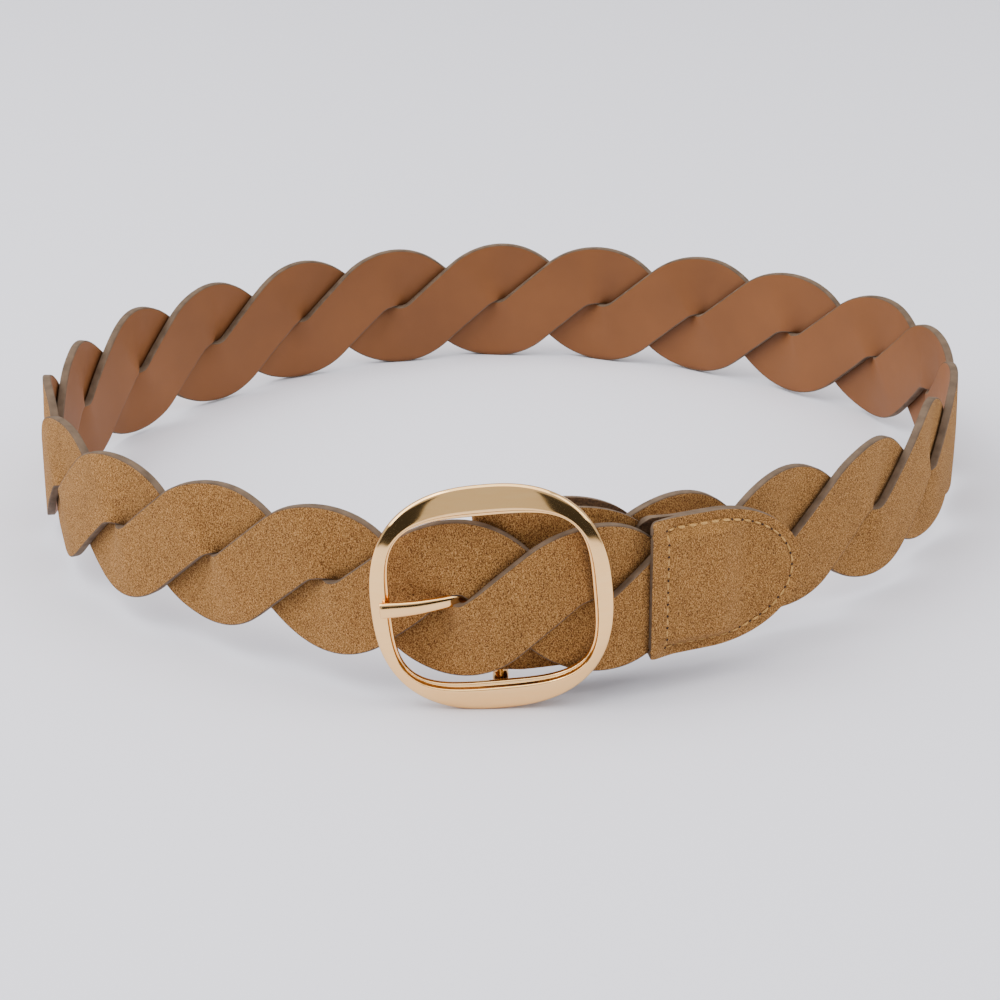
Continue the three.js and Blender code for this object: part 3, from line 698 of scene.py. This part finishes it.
class TabShape:
    """The tab's outline, how far its walls stand off the middle and where its stitches run."""

    def __init__(self, scene):
        self.braid = Braid(scene)
        self.tab = scene.belt_tab
        self.pocket_half = self.braid.half_thickness + scene.belt_buckle.fit_gap
        self.line_x, self.line_y, self.run = self.stitch_line()

    def stand_off(self, from_tip, height):
        """Half the room between the walls: none round the rim, and parted at the mouth."""
        tab = self.tab
        low = tab.long - tab.pocket_depth
        room = smooth(from_tip, low - tab.fade, low)
        rim = np.abs(height) / tab.half_height
        fill = 1 - smooth(rim, *TAB_RIM)
        shut = 1 - TAB_CORNER_SHUT * smooth(rim, *TAB_CORNER)
        fill = np.maximum(fill, shut * smooth(from_tip, tab.long - tab.opening, tab.long))
        return tab.seam_gap / 2 + self.pocket_half * fill * room

    def face(self, from_tip, height):
        """How far the wall's outer face stands off the middle, on its slopes too."""
        step = 0.1 * MM
        here = self.stand_off(from_tip, height)
        slope_x = (self.stand_off(from_tip + step, height) - here) / step
        slope_y = (self.stand_off(from_tip, height + step) - here) / step
        return here + self.tab.wall / 2 * (1 + np.sqrt(1 + slope_x**2 + slope_y**2))

    def place(self, from_tip, height, out):
        lobe = self.tab.mouth - (self.tab.long - from_tip) / self.braid.pitch
        return self.braid.on_belt(lobe, out, height)

    def rounded(self, from_tip, height):
        """Draws the heights in to the round corners at the mouth."""
        to_mouth = np.clip(1 - (self.tab.long - from_tip) / self.tab.corner, 0.0, 1.0)
        corner = self.tab.corner * (1 - np.sqrt(1 - to_mouth * to_mouth))
        return height * (1 - corner / self.tab.half_height)

    def stitch_line(self):
        """The sewn line round the tab as places from the tip and heights, and its running length."""
        tab = self.tab
        high = tab.half_height - tab.stitch_inset
        column = tab.long - tab.column_inset
        turn = np.linspace(0.0, math.pi / 2, STITCH_LINE_STEPS)
        side = np.linspace(tab.point, column, STITCH_SIDE_STEPS)[1:]
        up = np.linspace(-high, high, STITCH_LINE_STEPS)[1:-1]
        from_tip = np.concatenate([tab.point - (tab.point - tab.stitch_inset) * np.cos(turn), side])
        height = np.concatenate([high * np.sin(turn), np.full(len(side), high)])
        line_x = np.concatenate([from_tip[::-1], from_tip[1:], np.full(len(up), column), [column]])
        line_y = np.concatenate([height[::-1], -height[1:], up, [high]])
        run = np.concatenate([[0.0], np.cumsum(np.hypot(np.diff(line_x), np.diff(line_y)))])
        return line_x, line_y, run

    def groove(self, from_tip, height):
        """How far the leather is pulled in along the sewn line."""
        away = np.hypot(from_tip[:, None] - self.line_x[None, ::2], height[:, None] - self.line_y[None, ::2])
        return self.tab.groove * np.exp(-((away.min(axis=1) / self.tab.groove_half) ** 2))

    def on_stitches(self, run):
        """The place from the tip and the height at a length along the sewn line."""
        return np.array([np.interp(run, self.run, self.line_x), np.interp(run, self.run, self.line_y)])

    def lay(self, piece, side, run, along, across, out):
        """Moves a bead's corners onto the tab's outer face at a length along the sewn line."""
        step = 0.2 * MM
        run = run % self.run[-1]
        spot = self.on_stitches(run)
        aim = self.on_stitches(run + step) - self.on_stitches(run - step)
        aim = aim / math.hypot(*aim)
        from_tip = spot[0] + along * aim[0] - across * aim[1]
        height = spot[1] + along * aim[1] + across * aim[0]
        face = self.face(from_tip, height) - self.tab.groove
        move_corners(piece, settle(self.place(from_tip, height, side * (face + out))))


def pointed(travel, across, point, half_height):
    """Wraps a strip's square end onto its rounded point. across runs from -1 to 1."""
    square = np.clip(travel / point - 1, -1.0, 0.0)
    bent = point * (1 + square * np.sqrt(1 - across * across / 2))
    height = half_height * across * np.sqrt(1 - square * square / 2)
    return bent + np.maximum(travel - point, 0.0), height


class BELT_OT_tab(bpy.types.Operator):
    """Cut the two walls of the tip tab and close them over the strips' ends"""

    bl_idname = "belt.tab"
    bl_label = "Tip tab"

    def execute(self, context):
        shape = TabShape(context.scene)
        tab = shape.tab
        walls = []
        for side in (1, -1):
            wall = begin_sheet("tab_wall", *TAB_STEPS)
            spots = corners(wall)
            across = -2 * spots[:, 1] * side
            from_tip, height = pointed((spots[:, 0] + 0.5) * tab.long, across, tab.point, tab.half_height)
            height = shape.rounded(from_tip, height)
            inward = shape.groove(from_tip, height)
            out = side * (shape.stand_off(from_tip, height) + tab.wall / 2 - inward)
            move_corners(wall, settle(shape.place(from_tip, height, out)))
            face_with(wall, camel_suede if side > 0 else brown_lining, raw_leather, painted_edge)
            thicken(wall, tab.wall, tab.edge_round)
            walls.append(wall)
        piece = join(walls, "tip_tab_leather")
        shade_smooth(piece, 50.0)
        dress(piece, "suede", "tip_tab")
        return {"FINISHED"}


class BELT_OT_stitches(bpy.types.Operator):
    """Sew round the tab: short threads that dip into their needle holes on both sides"""

    bl_idname = "belt.stitches"
    bl_label = "Stitches"

    def execute(self, context):
        shape = TabShape(context.scene)
        whole = shape.run[-1]
        count = round(whole / shape.tab.stitch_pitch)
        beads = []
        for side in (1, -1):
            for number in range(count):
                beads.append(self.thread(shape, side, (number + 0.5) * whole / count))
                beads.append(self.hole(shape, side, (number + 1) * whole / count))
        piece = join(beads, "tab_stitches")
        shade_smooth(piece, 60.0)
        dress(piece, "thread")
        return {"FINISHED"}

    @staticmethod
    def bead(name, rings, maker):
        bead = begin(name, bpy.ops.mesh.primitive_uv_sphere_add, segments=8, ring_count=rings, radius=1.0)
        face_with(bead, maker)
        return bead

    def thread(self, shape, side, run):
        """One stitch's thread: its ends dip in, and the row at the mouth lies deeper."""
        tab = shape.tab
        piece = self.bead("thread", 10, tan_thread)
        spots = corners(piece)
        along = spots[:, 2] * tab.stitch_long / 2
        across = spots[:, 0] * tab.thread / 2
        dip = THREAD_DIP * tab.thread * spots[:, 2] ** 4
        out = spots[:, 1] * tab.thread / 2 + THREAD_STAND * tab.thread - dip
        at_column = abs(shape.on_stitches(run)[0] - (tab.long - tab.column_inset)) < 0.01 * MM
        sunk = tab.column_sink if at_column else 0.0
        shape.lay(piece, side, run, along, across, out - sunk)
        if side > 0:
            face_outwards(piece)
        return piece

    def hole(self, shape, side, run):
        """One needle hole: a dot of painted shade, as thin as paint."""
        piece = self.bead("hole", 6, needle_hole)
        across, along, out = (corners(piece) * HOLE_SIZE * shape.tab.thread).T
        shape.lay(piece, side, run, along, across, out + HOLE_STAND)
        return piece


class BELT_OT_chape(bpy.types.Operator):
    """Fold the strap's pointed end round the centre bar, with a slot for the prong"""

    bl_idname = "belt.chape"
    bl_label = "Folded end"

    def execute(self, context):
        braid = Braid(context.scene)
        buckle = braid.buckle
        fold = context.scene.belt_fold
        piece = begin_sheet("buckle_chape_leather", *FOLD_STEPS)
        spots = corners(piece)
        middle = (braid.fold_inner + braid.fold_outer) / 2
        flat_half = braid.half_thickness + fold.room + fold.wall / 2
        near = braid.fold_outer + fold.flare
        bend = middle * math.pi / 2
        whole = fold.long + bend
        point = context.scene.belt_tab.point
        from_tip = (1 - 2 * np.abs(spots[:, 0])) * whole
        from_tip, height = pointed(from_tip, -2 * spots[:, 1], point, fold.half_height)
        inward = whole - from_tip
        turn = np.clip(inward / bend, 0.0, 1.0) * math.pi / 2
        x = np.where(inward < bend, middle * np.cos(turn), bend - inward)
        flare = smooth(inward, bend, bend + near)
        y = np.where(inward < bend, middle * np.sin(turn), middle + (flat_half - middle) * flare)
        y = y * np.where(spots[:, 0] < 0, 1.0, -1.0)
        placed = braid.on_belt(buckle.bar_lobe + x / braid.pitch, y, height)
        lean = (placed[:, 2] - buckle.rise) * math.tan(buckle.roll)
        lean = lean * smooth(x, -fold.long, -braid.fold_outer)
        placed[:, 0] -= lean * math.cos(braid.buckle_turn)
        placed[:, 1] -= lean * math.sin(braid.buckle_turn)
        move_corners(piece, settle(placed))
        from_eye = (placed[:, 2] - buckle.rise) * math.cos(buckle.roll) + buckle.prong_drop
        slot = (np.abs(from_eye) < fold.slot_half) & (x > -braid.fold_outer - fold.slot_past)
        cut_away(piece, slot)
        face_with(piece, camel_suede, raw_leather, painted_edge)
        thicken(piece, fold.wall, fold.edge_round)
        dress(piece, "suede", "buckle_chape")
        return {"FINISHED"}


class Buckle:
    """Places on the buckle: X along its width, Y into the loop, Z up, turned about the centre bar."""

    def __init__(self, scene):
        self.braid = Braid(scene)
        self.sizes = scene.belt_buckle
        self.half_width = self.sizes.width / 2
        self.half_height = self.sizes.opening_half + self.sizes.rail

    def place(self, spots):
        sizes = self.sizes
        x, y, z = spots[:, 0], spots[:, 1], spots[:, 2]
        leant_x = x * math.cos(sizes.roll) - z * math.sin(sizes.roll)
        up = x * math.sin(sizes.roll) + z * math.cos(sizes.roll)
        turn = self.braid.buckle_turn
        across = self.braid.bar_x + leant_x * math.cos(turn) - y * math.sin(turn)
        deep = self.braid.bar_y + leant_x * math.sin(turn) + y * math.cos(turn)
        placed = settle(np.stack([across, deep, up + sizes.rise], axis=-1))
        placed[:, 2] = np.maximum(placed[:, 2], 0.0)
        return placed


RING_RADIUS = 2.0


def begin_ring(name, sections, corners_each):
    """Adds a plain ring, whose sections are shaped afterwards."""
    shape = {"major_segments": sections, "minor_segments": corners_each}
    add_ring = bpy.ops.mesh.primitive_torus_add
    return begin(name, add_ring, **shape, major_radius=RING_RADIUS, minor_radius=RING_RADIUS / 2)


def squircle(turn, half_width, half_height, squareness):
    """Places on a rounded square: an ellipse at squareness 2, and squarer above it."""
    reach = (np.abs(np.cos(turn)) ** squareness + np.abs(np.sin(turn)) ** squareness) ** (-1 / squareness)
    return half_width * reach * np.cos(turn), half_height * reach * np.sin(turn)


class BELT_OT_frame(bpy.types.Operator):
    """Cast the buckle's frame with its bevelled rim, and solder its centre bar and lugs to it"""

    bl_idname = "belt.frame"
    bl_label = "Buckle frame"

    def execute(self, context):
        buckle = Buckle(context.scene)
        sizes = buckle.sizes
        ring = self.ring(buckle)
        reach = sizes.opening_half + sizes.lug_sink + sizes.lug_height / 2
        add_rod = bpy.ops.mesh.primitive_cylinder_add
        bar = begin("centre_bar", add_rod, vertices=32, radius=sizes.bar / 2, depth=2 * reach)
        move_corners(bar, buckle.place(corners(bar)))
        parts = [ring, bar]
        deep = sizes.back + sizes.thickness / 2 + sizes.bar / 2
        for end in (-1, 1):
            lug = begin("lug", bpy.ops.mesh.primitive_cube_add, size=1.0)
            spots = corners(lug) * np.array([sizes.lug_width, deep, sizes.lug_height])
            spots += np.array([0.0, sizes.bar / 2 - deep / 2, end * reach])
            move_corners(lug, spots)
            apply_modifier(lug, "BEVEL", width=sizes.lug_round, segments=4)
            move_corners(lug, buckle.place(corners(lug)))
            parts.append(lug)
        piece = join(parts, "buckle_frame_gold")
        face_with(piece, champagne_gold)
        shade_smooth(piece, 60.0)
        dress(piece, "gold_metal", "buckle_frame")
        return {"FINISHED"}

    @staticmethod
    def ring(buckle):
        sizes = buckle.sizes
        section = np.array(FRAME_SECTION)
        count = len(section)
        ring = begin_ring("ring", FRAME_SECTIONS, count)
        spots = corners(ring)
        turn = np.arctan2(spots[:, 1], spots[:, 0])
        around = np.arctan2(spots[:, 2], RING_RADIUS - np.hypot(spots[:, 0], spots[:, 1]))
        corner = np.round(around / (2 * math.pi) * count).astype(int) % count
        across, out = section[corner, 0], section[corner, 1]
        opening_half_width = buckle.half_width - sizes.side
        inner_x, inner_z = squircle(turn, opening_half_width, sizes.opening_half, sizes.inner_square)
        outer_x, outer_z = squircle(turn, buckle.half_width, buckle.half_height, sizes.outer_square)
        x = inner_x + (outer_x - inner_x) * across
        z = inner_z + (outer_z - inner_z) * across
        move_corners(ring, np.stack([x, -sizes.back - out * sizes.thickness, z], axis=-1))
        apply_modifier(ring, "SUBSURF", levels=1, render_levels=1)
        move_corners(ring, buckle.place(corners(ring)))
        face_outwards(ring)
        return ring


def prong_line(shares):
    """Places along the prong's smooth line, and its direction there."""
    knots = np.array(PRONG_LINE) * MM
    knots = np.vstack([2 * knots[0] - knots[1], knots, 2 * knots[-1] - knots[-2]])
    gaps = np.sqrt(np.hypot(*np.diff(knots, axis=0).T))
    fine = []
    for i in range(1, len(knots) - 2):
        before, span, after = gaps[i - 1], gaps[i], gaps[i + 1]
        first, second = knots[i], knots[i + 1]
        leave = (first - knots[i - 1]) / before - (second - knots[i - 1]) / (before + span)
        leave = (leave + (second - first) / span) * span
        arrive = (second - first) / span - (knots[i + 2] - first) / (span + after)
        arrive = (arrive + (knots[i + 2] - second) / after) * span
        t = np.linspace(0.0, 1.0, 60)[:, None]
        rise = 3 * t * t - 2 * t**3
        curve = first + (second - first) * rise + leave * (t - 2 * t * t + t**3) + arrive * (t**3 - t * t)
        fine.append(curve if i == 1 else curve[1:])
    fine = np.vstack(fine)
    run = np.concatenate([[0.0], np.cumsum(np.hypot(*np.diff(fine, axis=0).T))])
    aim = np.gradient(fine, run, axis=0)
    aim /= np.hypot(aim[:, 0], aim[:, 1])[:, None]
    at = shares * run[-1]
    spot = np.stack([np.interp(at, run, fine[:, k]) for k in (0, 1)], axis=-1)
    way = np.stack([np.interp(at, run, aim[:, k]) for k in (0, 1)], axis=-1)
    return spot, way, run[-1]


class BELT_OT_prong(bpy.types.Operator):
    """Draw the prong's shank with its blunt tip, and bend its eye round the centre bar"""

    bl_idname = "belt.prong"
    bl_label = "Prong"

    def execute(self, context):
        buckle = Buckle(context.scene)
        sizes = buckle.sizes
        add_ball = bpy.ops.mesh.primitive_uv_sphere_add
        shank = begin("shank", add_ball, segments=PRONG_SIDES, ring_count=PRONG_RINGS, radius=1.0)
        spots = corners(shank)
        ring = np.round(np.arccos(np.clip(spots[:, 2], -1.0, 1.0)) / math.pi * PRONG_RINGS)
        from_end = np.minimum(ring, PRONG_RINGS - ring)
        cap = range(len(CAP_SIZE))
        cap_size = np.interp(from_end, cap, CAP_SIZE)
        _, _, long = prong_line(np.zeros(1))
        deepest = CAP_INSET[-1] * MM / long
        body = np.clip((ring - cap[-1]) / (PRONG_RINGS - 2 * cap[-1]), 0.0, 1.0)
        past_body = deepest - np.interp(from_end, cap, CAP_INSET) * MM / long
        past_body = np.where(ring < PRONG_RINGS / 2, -past_body, past_body)
        share_along = deepest + (1 - 2 * deepest) * body + past_body
        turn = np.arctan2(spots[:, 1], spots[:, 0])
        spot, way, _ = prong_line(share_along)
        width = sizes.prong_root + (sizes.prong_tip - sizes.prong_root) * share_along
        side_x, side_z = squircle(turn, sizes.prong_thick / 2, 1.0, PRONG_SQUARENESS)
        side_x, side_z = side_x * cap_size, side_z * cap_size * width / 2
        x = spot[:, 0] - way[:, 1] * side_x
        y = spot[:, 1] + way[:, 0] * side_x
        z = side_z - sizes.prong_drop - spot[:, 0] * math.tan(sizes.prong_tilt)
        move_corners(shank, buckle.place(np.stack([x, y, z], axis=-1)))
        face_outwards(shank)
        eye = self.eye(buckle)
        piece = join([shank, eye], "prong_gold")
        face_with(piece, champagne_gold)
        shade_smooth(piece, 50.0)
        dress(piece, "gold_metal", "prong")
        return {"FINISHED"}

    @staticmethod
    def eye(buckle):
        sizes = buckle.sizes
        eye = begin_ring("eye", *EYE_STEPS)
        spots = corners(eye)
        turn = np.arctan2(spots[:, 1], spots[:, 0])
        around = np.arctan2(spots[:, 2], np.hypot(spots[:, 0], spots[:, 1]) - RING_RADIUS)
        thick, high = squircle(around, sizes.eye_wall / 2, sizes.eye_height / 2, EYE_SQUARENESS)
        radius = buckle.braid.fold_inner + sizes.eye_wall / 2 + thick
        placed = np.stack([radius * np.cos(turn), radius * np.sin(turn), high - sizes.prong_drop], axis=-1)
        move_corners(eye, buckle.place(placed))
        return eye


class BELT_OT_stage(bpy.types.Operator):
    """Lay the floor, hang the soft lights and set the camera"""

    bl_idname = "belt.stage"
    bl_label = "Stage"

    def execute(self, context):
        sizes = context.scene.belt_stage
        floor = begin("floor", bpy.ops.mesh.primitive_plane_add, size=FLOOR_SIZE, location=FLOOR_MIDDLE)
        bpy.ops.object.transform_apply(location=True, rotation=False, scale=False)
        face_with(floor, pale_floor)
        for lamp in LAMPS:
            light = begin(lamp["name"], bpy.ops.object.light_add, type="AREA", location=lamp["at"])
            light.data.shape = "SQUARE"
            light.data.size = lamp["size"]
            light.data.energy = lamp["watts"]
            aim = Vector(LAMP_AIM) - light.location
            light.rotation_euler = aim.to_track_quat("-Z", "Y").to_euler()
        self.room(context.scene, sizes)
        camera = begin("photo_camera", bpy.ops.object.camera_add, location=sizes.camera_at)
        turn = Matrix.Rotation(-sizes.yaw, 3, "Z") @ Matrix.Rotation(math.pi / 2 - sizes.elevation, 3, "X")
        camera.rotation_euler = (turn @ Matrix.Rotation(sizes.roll, 3, "Z")).to_euler()
        camera.data.lens = sizes.lens
        camera.data.sensor_width = 36.0
        camera.data.clip_start = 0.01
        context.scene.camera = camera
        return {"FINISHED"}

    @staticmethod
    def room(scene, sizes):
        """A bright room with two dark corners before the buckle, for the metal to reflect."""
        world = scene.world or bpy.data.worlds.new("studio")
        scene.world = world
        world.use_nodes = True
        wires = Wiring(world.node_tree)
        generated = wires.add("ShaderNodeTexCoord")["Generated"]
        way = wires.add("ShaderNodeSeparateXYZ", {"Vector": generated})

        def fade(value, start, stop):
            sockets = {"Value": value, "From Min": start, "From Max": stop}
            return wires.add("ShaderNodeMapRange", sockets, interpolation_type="SMOOTHSTEP")["Result"]

        def times(first, second):
            return wires.add("ShaderNodeMath", {0: first, 1: second}, operation="MULTIPLY")["Value"]

        aside = wires.add("ShaderNodeMath", {0: way["X"]}, operation="ABSOLUTE")["Value"]
        sides = times(fade(way["Y"], *DARK_BEFORE), fade(aside, *DARK_ASIDE))
        shade = times(sides, times(fade(way["Z"], *DARK_OVER), fade(way["Z"], *DARK_UNDER)))
        level = {"Value": shade, "To Min": sizes.sky, "To Max": sizes.dark}
        strength = wires.add("ShaderNodeMapRange", level)["Result"]
        background = world.node_tree.nodes["Background"]
        wires.feed(background, {"Color": (0.97, 0.98, 1.0, 1.0), "Strength": strength})


class BELT_PT_panel(bpy.types.Panel):
    """Lists the belt's pieces in the order that they are made"""

    bl_idname = "BELT_PT_panel"
    bl_label = "Braided belt"
    bl_space_type = "VIEW_3D"
    bl_region_type = "UI"
    bl_category = "Belt"

    def draw(self, context):
        for operator in OPERATORS:
            self.layout.operator(operator.bl_idname)
        for group in GROUPS:
            box = self.layout.box()
            settings = getattr(context.scene, group)
            for name in settings.bl_rna.properties.keys():
                if name not in {"rna_type", "name"}:
                    box.prop(settings, name)


GROUPS = {
    "belt_braid": BeltBraidSizes,
    "belt_tab": BeltTabSizes,
    "belt_buckle": BeltBuckleSizes,
    "belt_fold": BeltFoldSizes,
    "belt_colours": BeltColours,
    "belt_stage": BeltStageSizes,
}
OPERATORS = [
    BELT_OT_strands,
    BELT_OT_tab,
    BELT_OT_stitches,
    BELT_OT_chape,
    BELT_OT_frame,
    BELT_OT_prong,
    BELT_OT_stage,
]


def register():
    for group, kind in GROUPS.items():
        bpy.utils.register_class(kind)
        setattr(bpy.types.Scene, group, PointerProperty(type=kind))
    for kind in (*OPERATORS, BELT_PT_panel):
        bpy.utils.register_class(kind)


def unregister():
    for kind in (BELT_PT_panel, *reversed(OPERATORS)):
        bpy.utils.unregister_class(kind)
    for group, kind in reversed(GROUPS.items()):
        delattr(bpy.types.Scene, group)
        bpy.utils.unregister_class(kind)


def main():
    register()
    bpy.ops.belt.strands()
    bpy.ops.belt.tab()
    bpy.ops.belt.stitches()
    bpy.ops.belt.chape()
    bpy.ops.belt.frame()
    bpy.ops.belt.prong()
    bpy.ops.belt.stage()


if __name__ == "__main__":
    main()
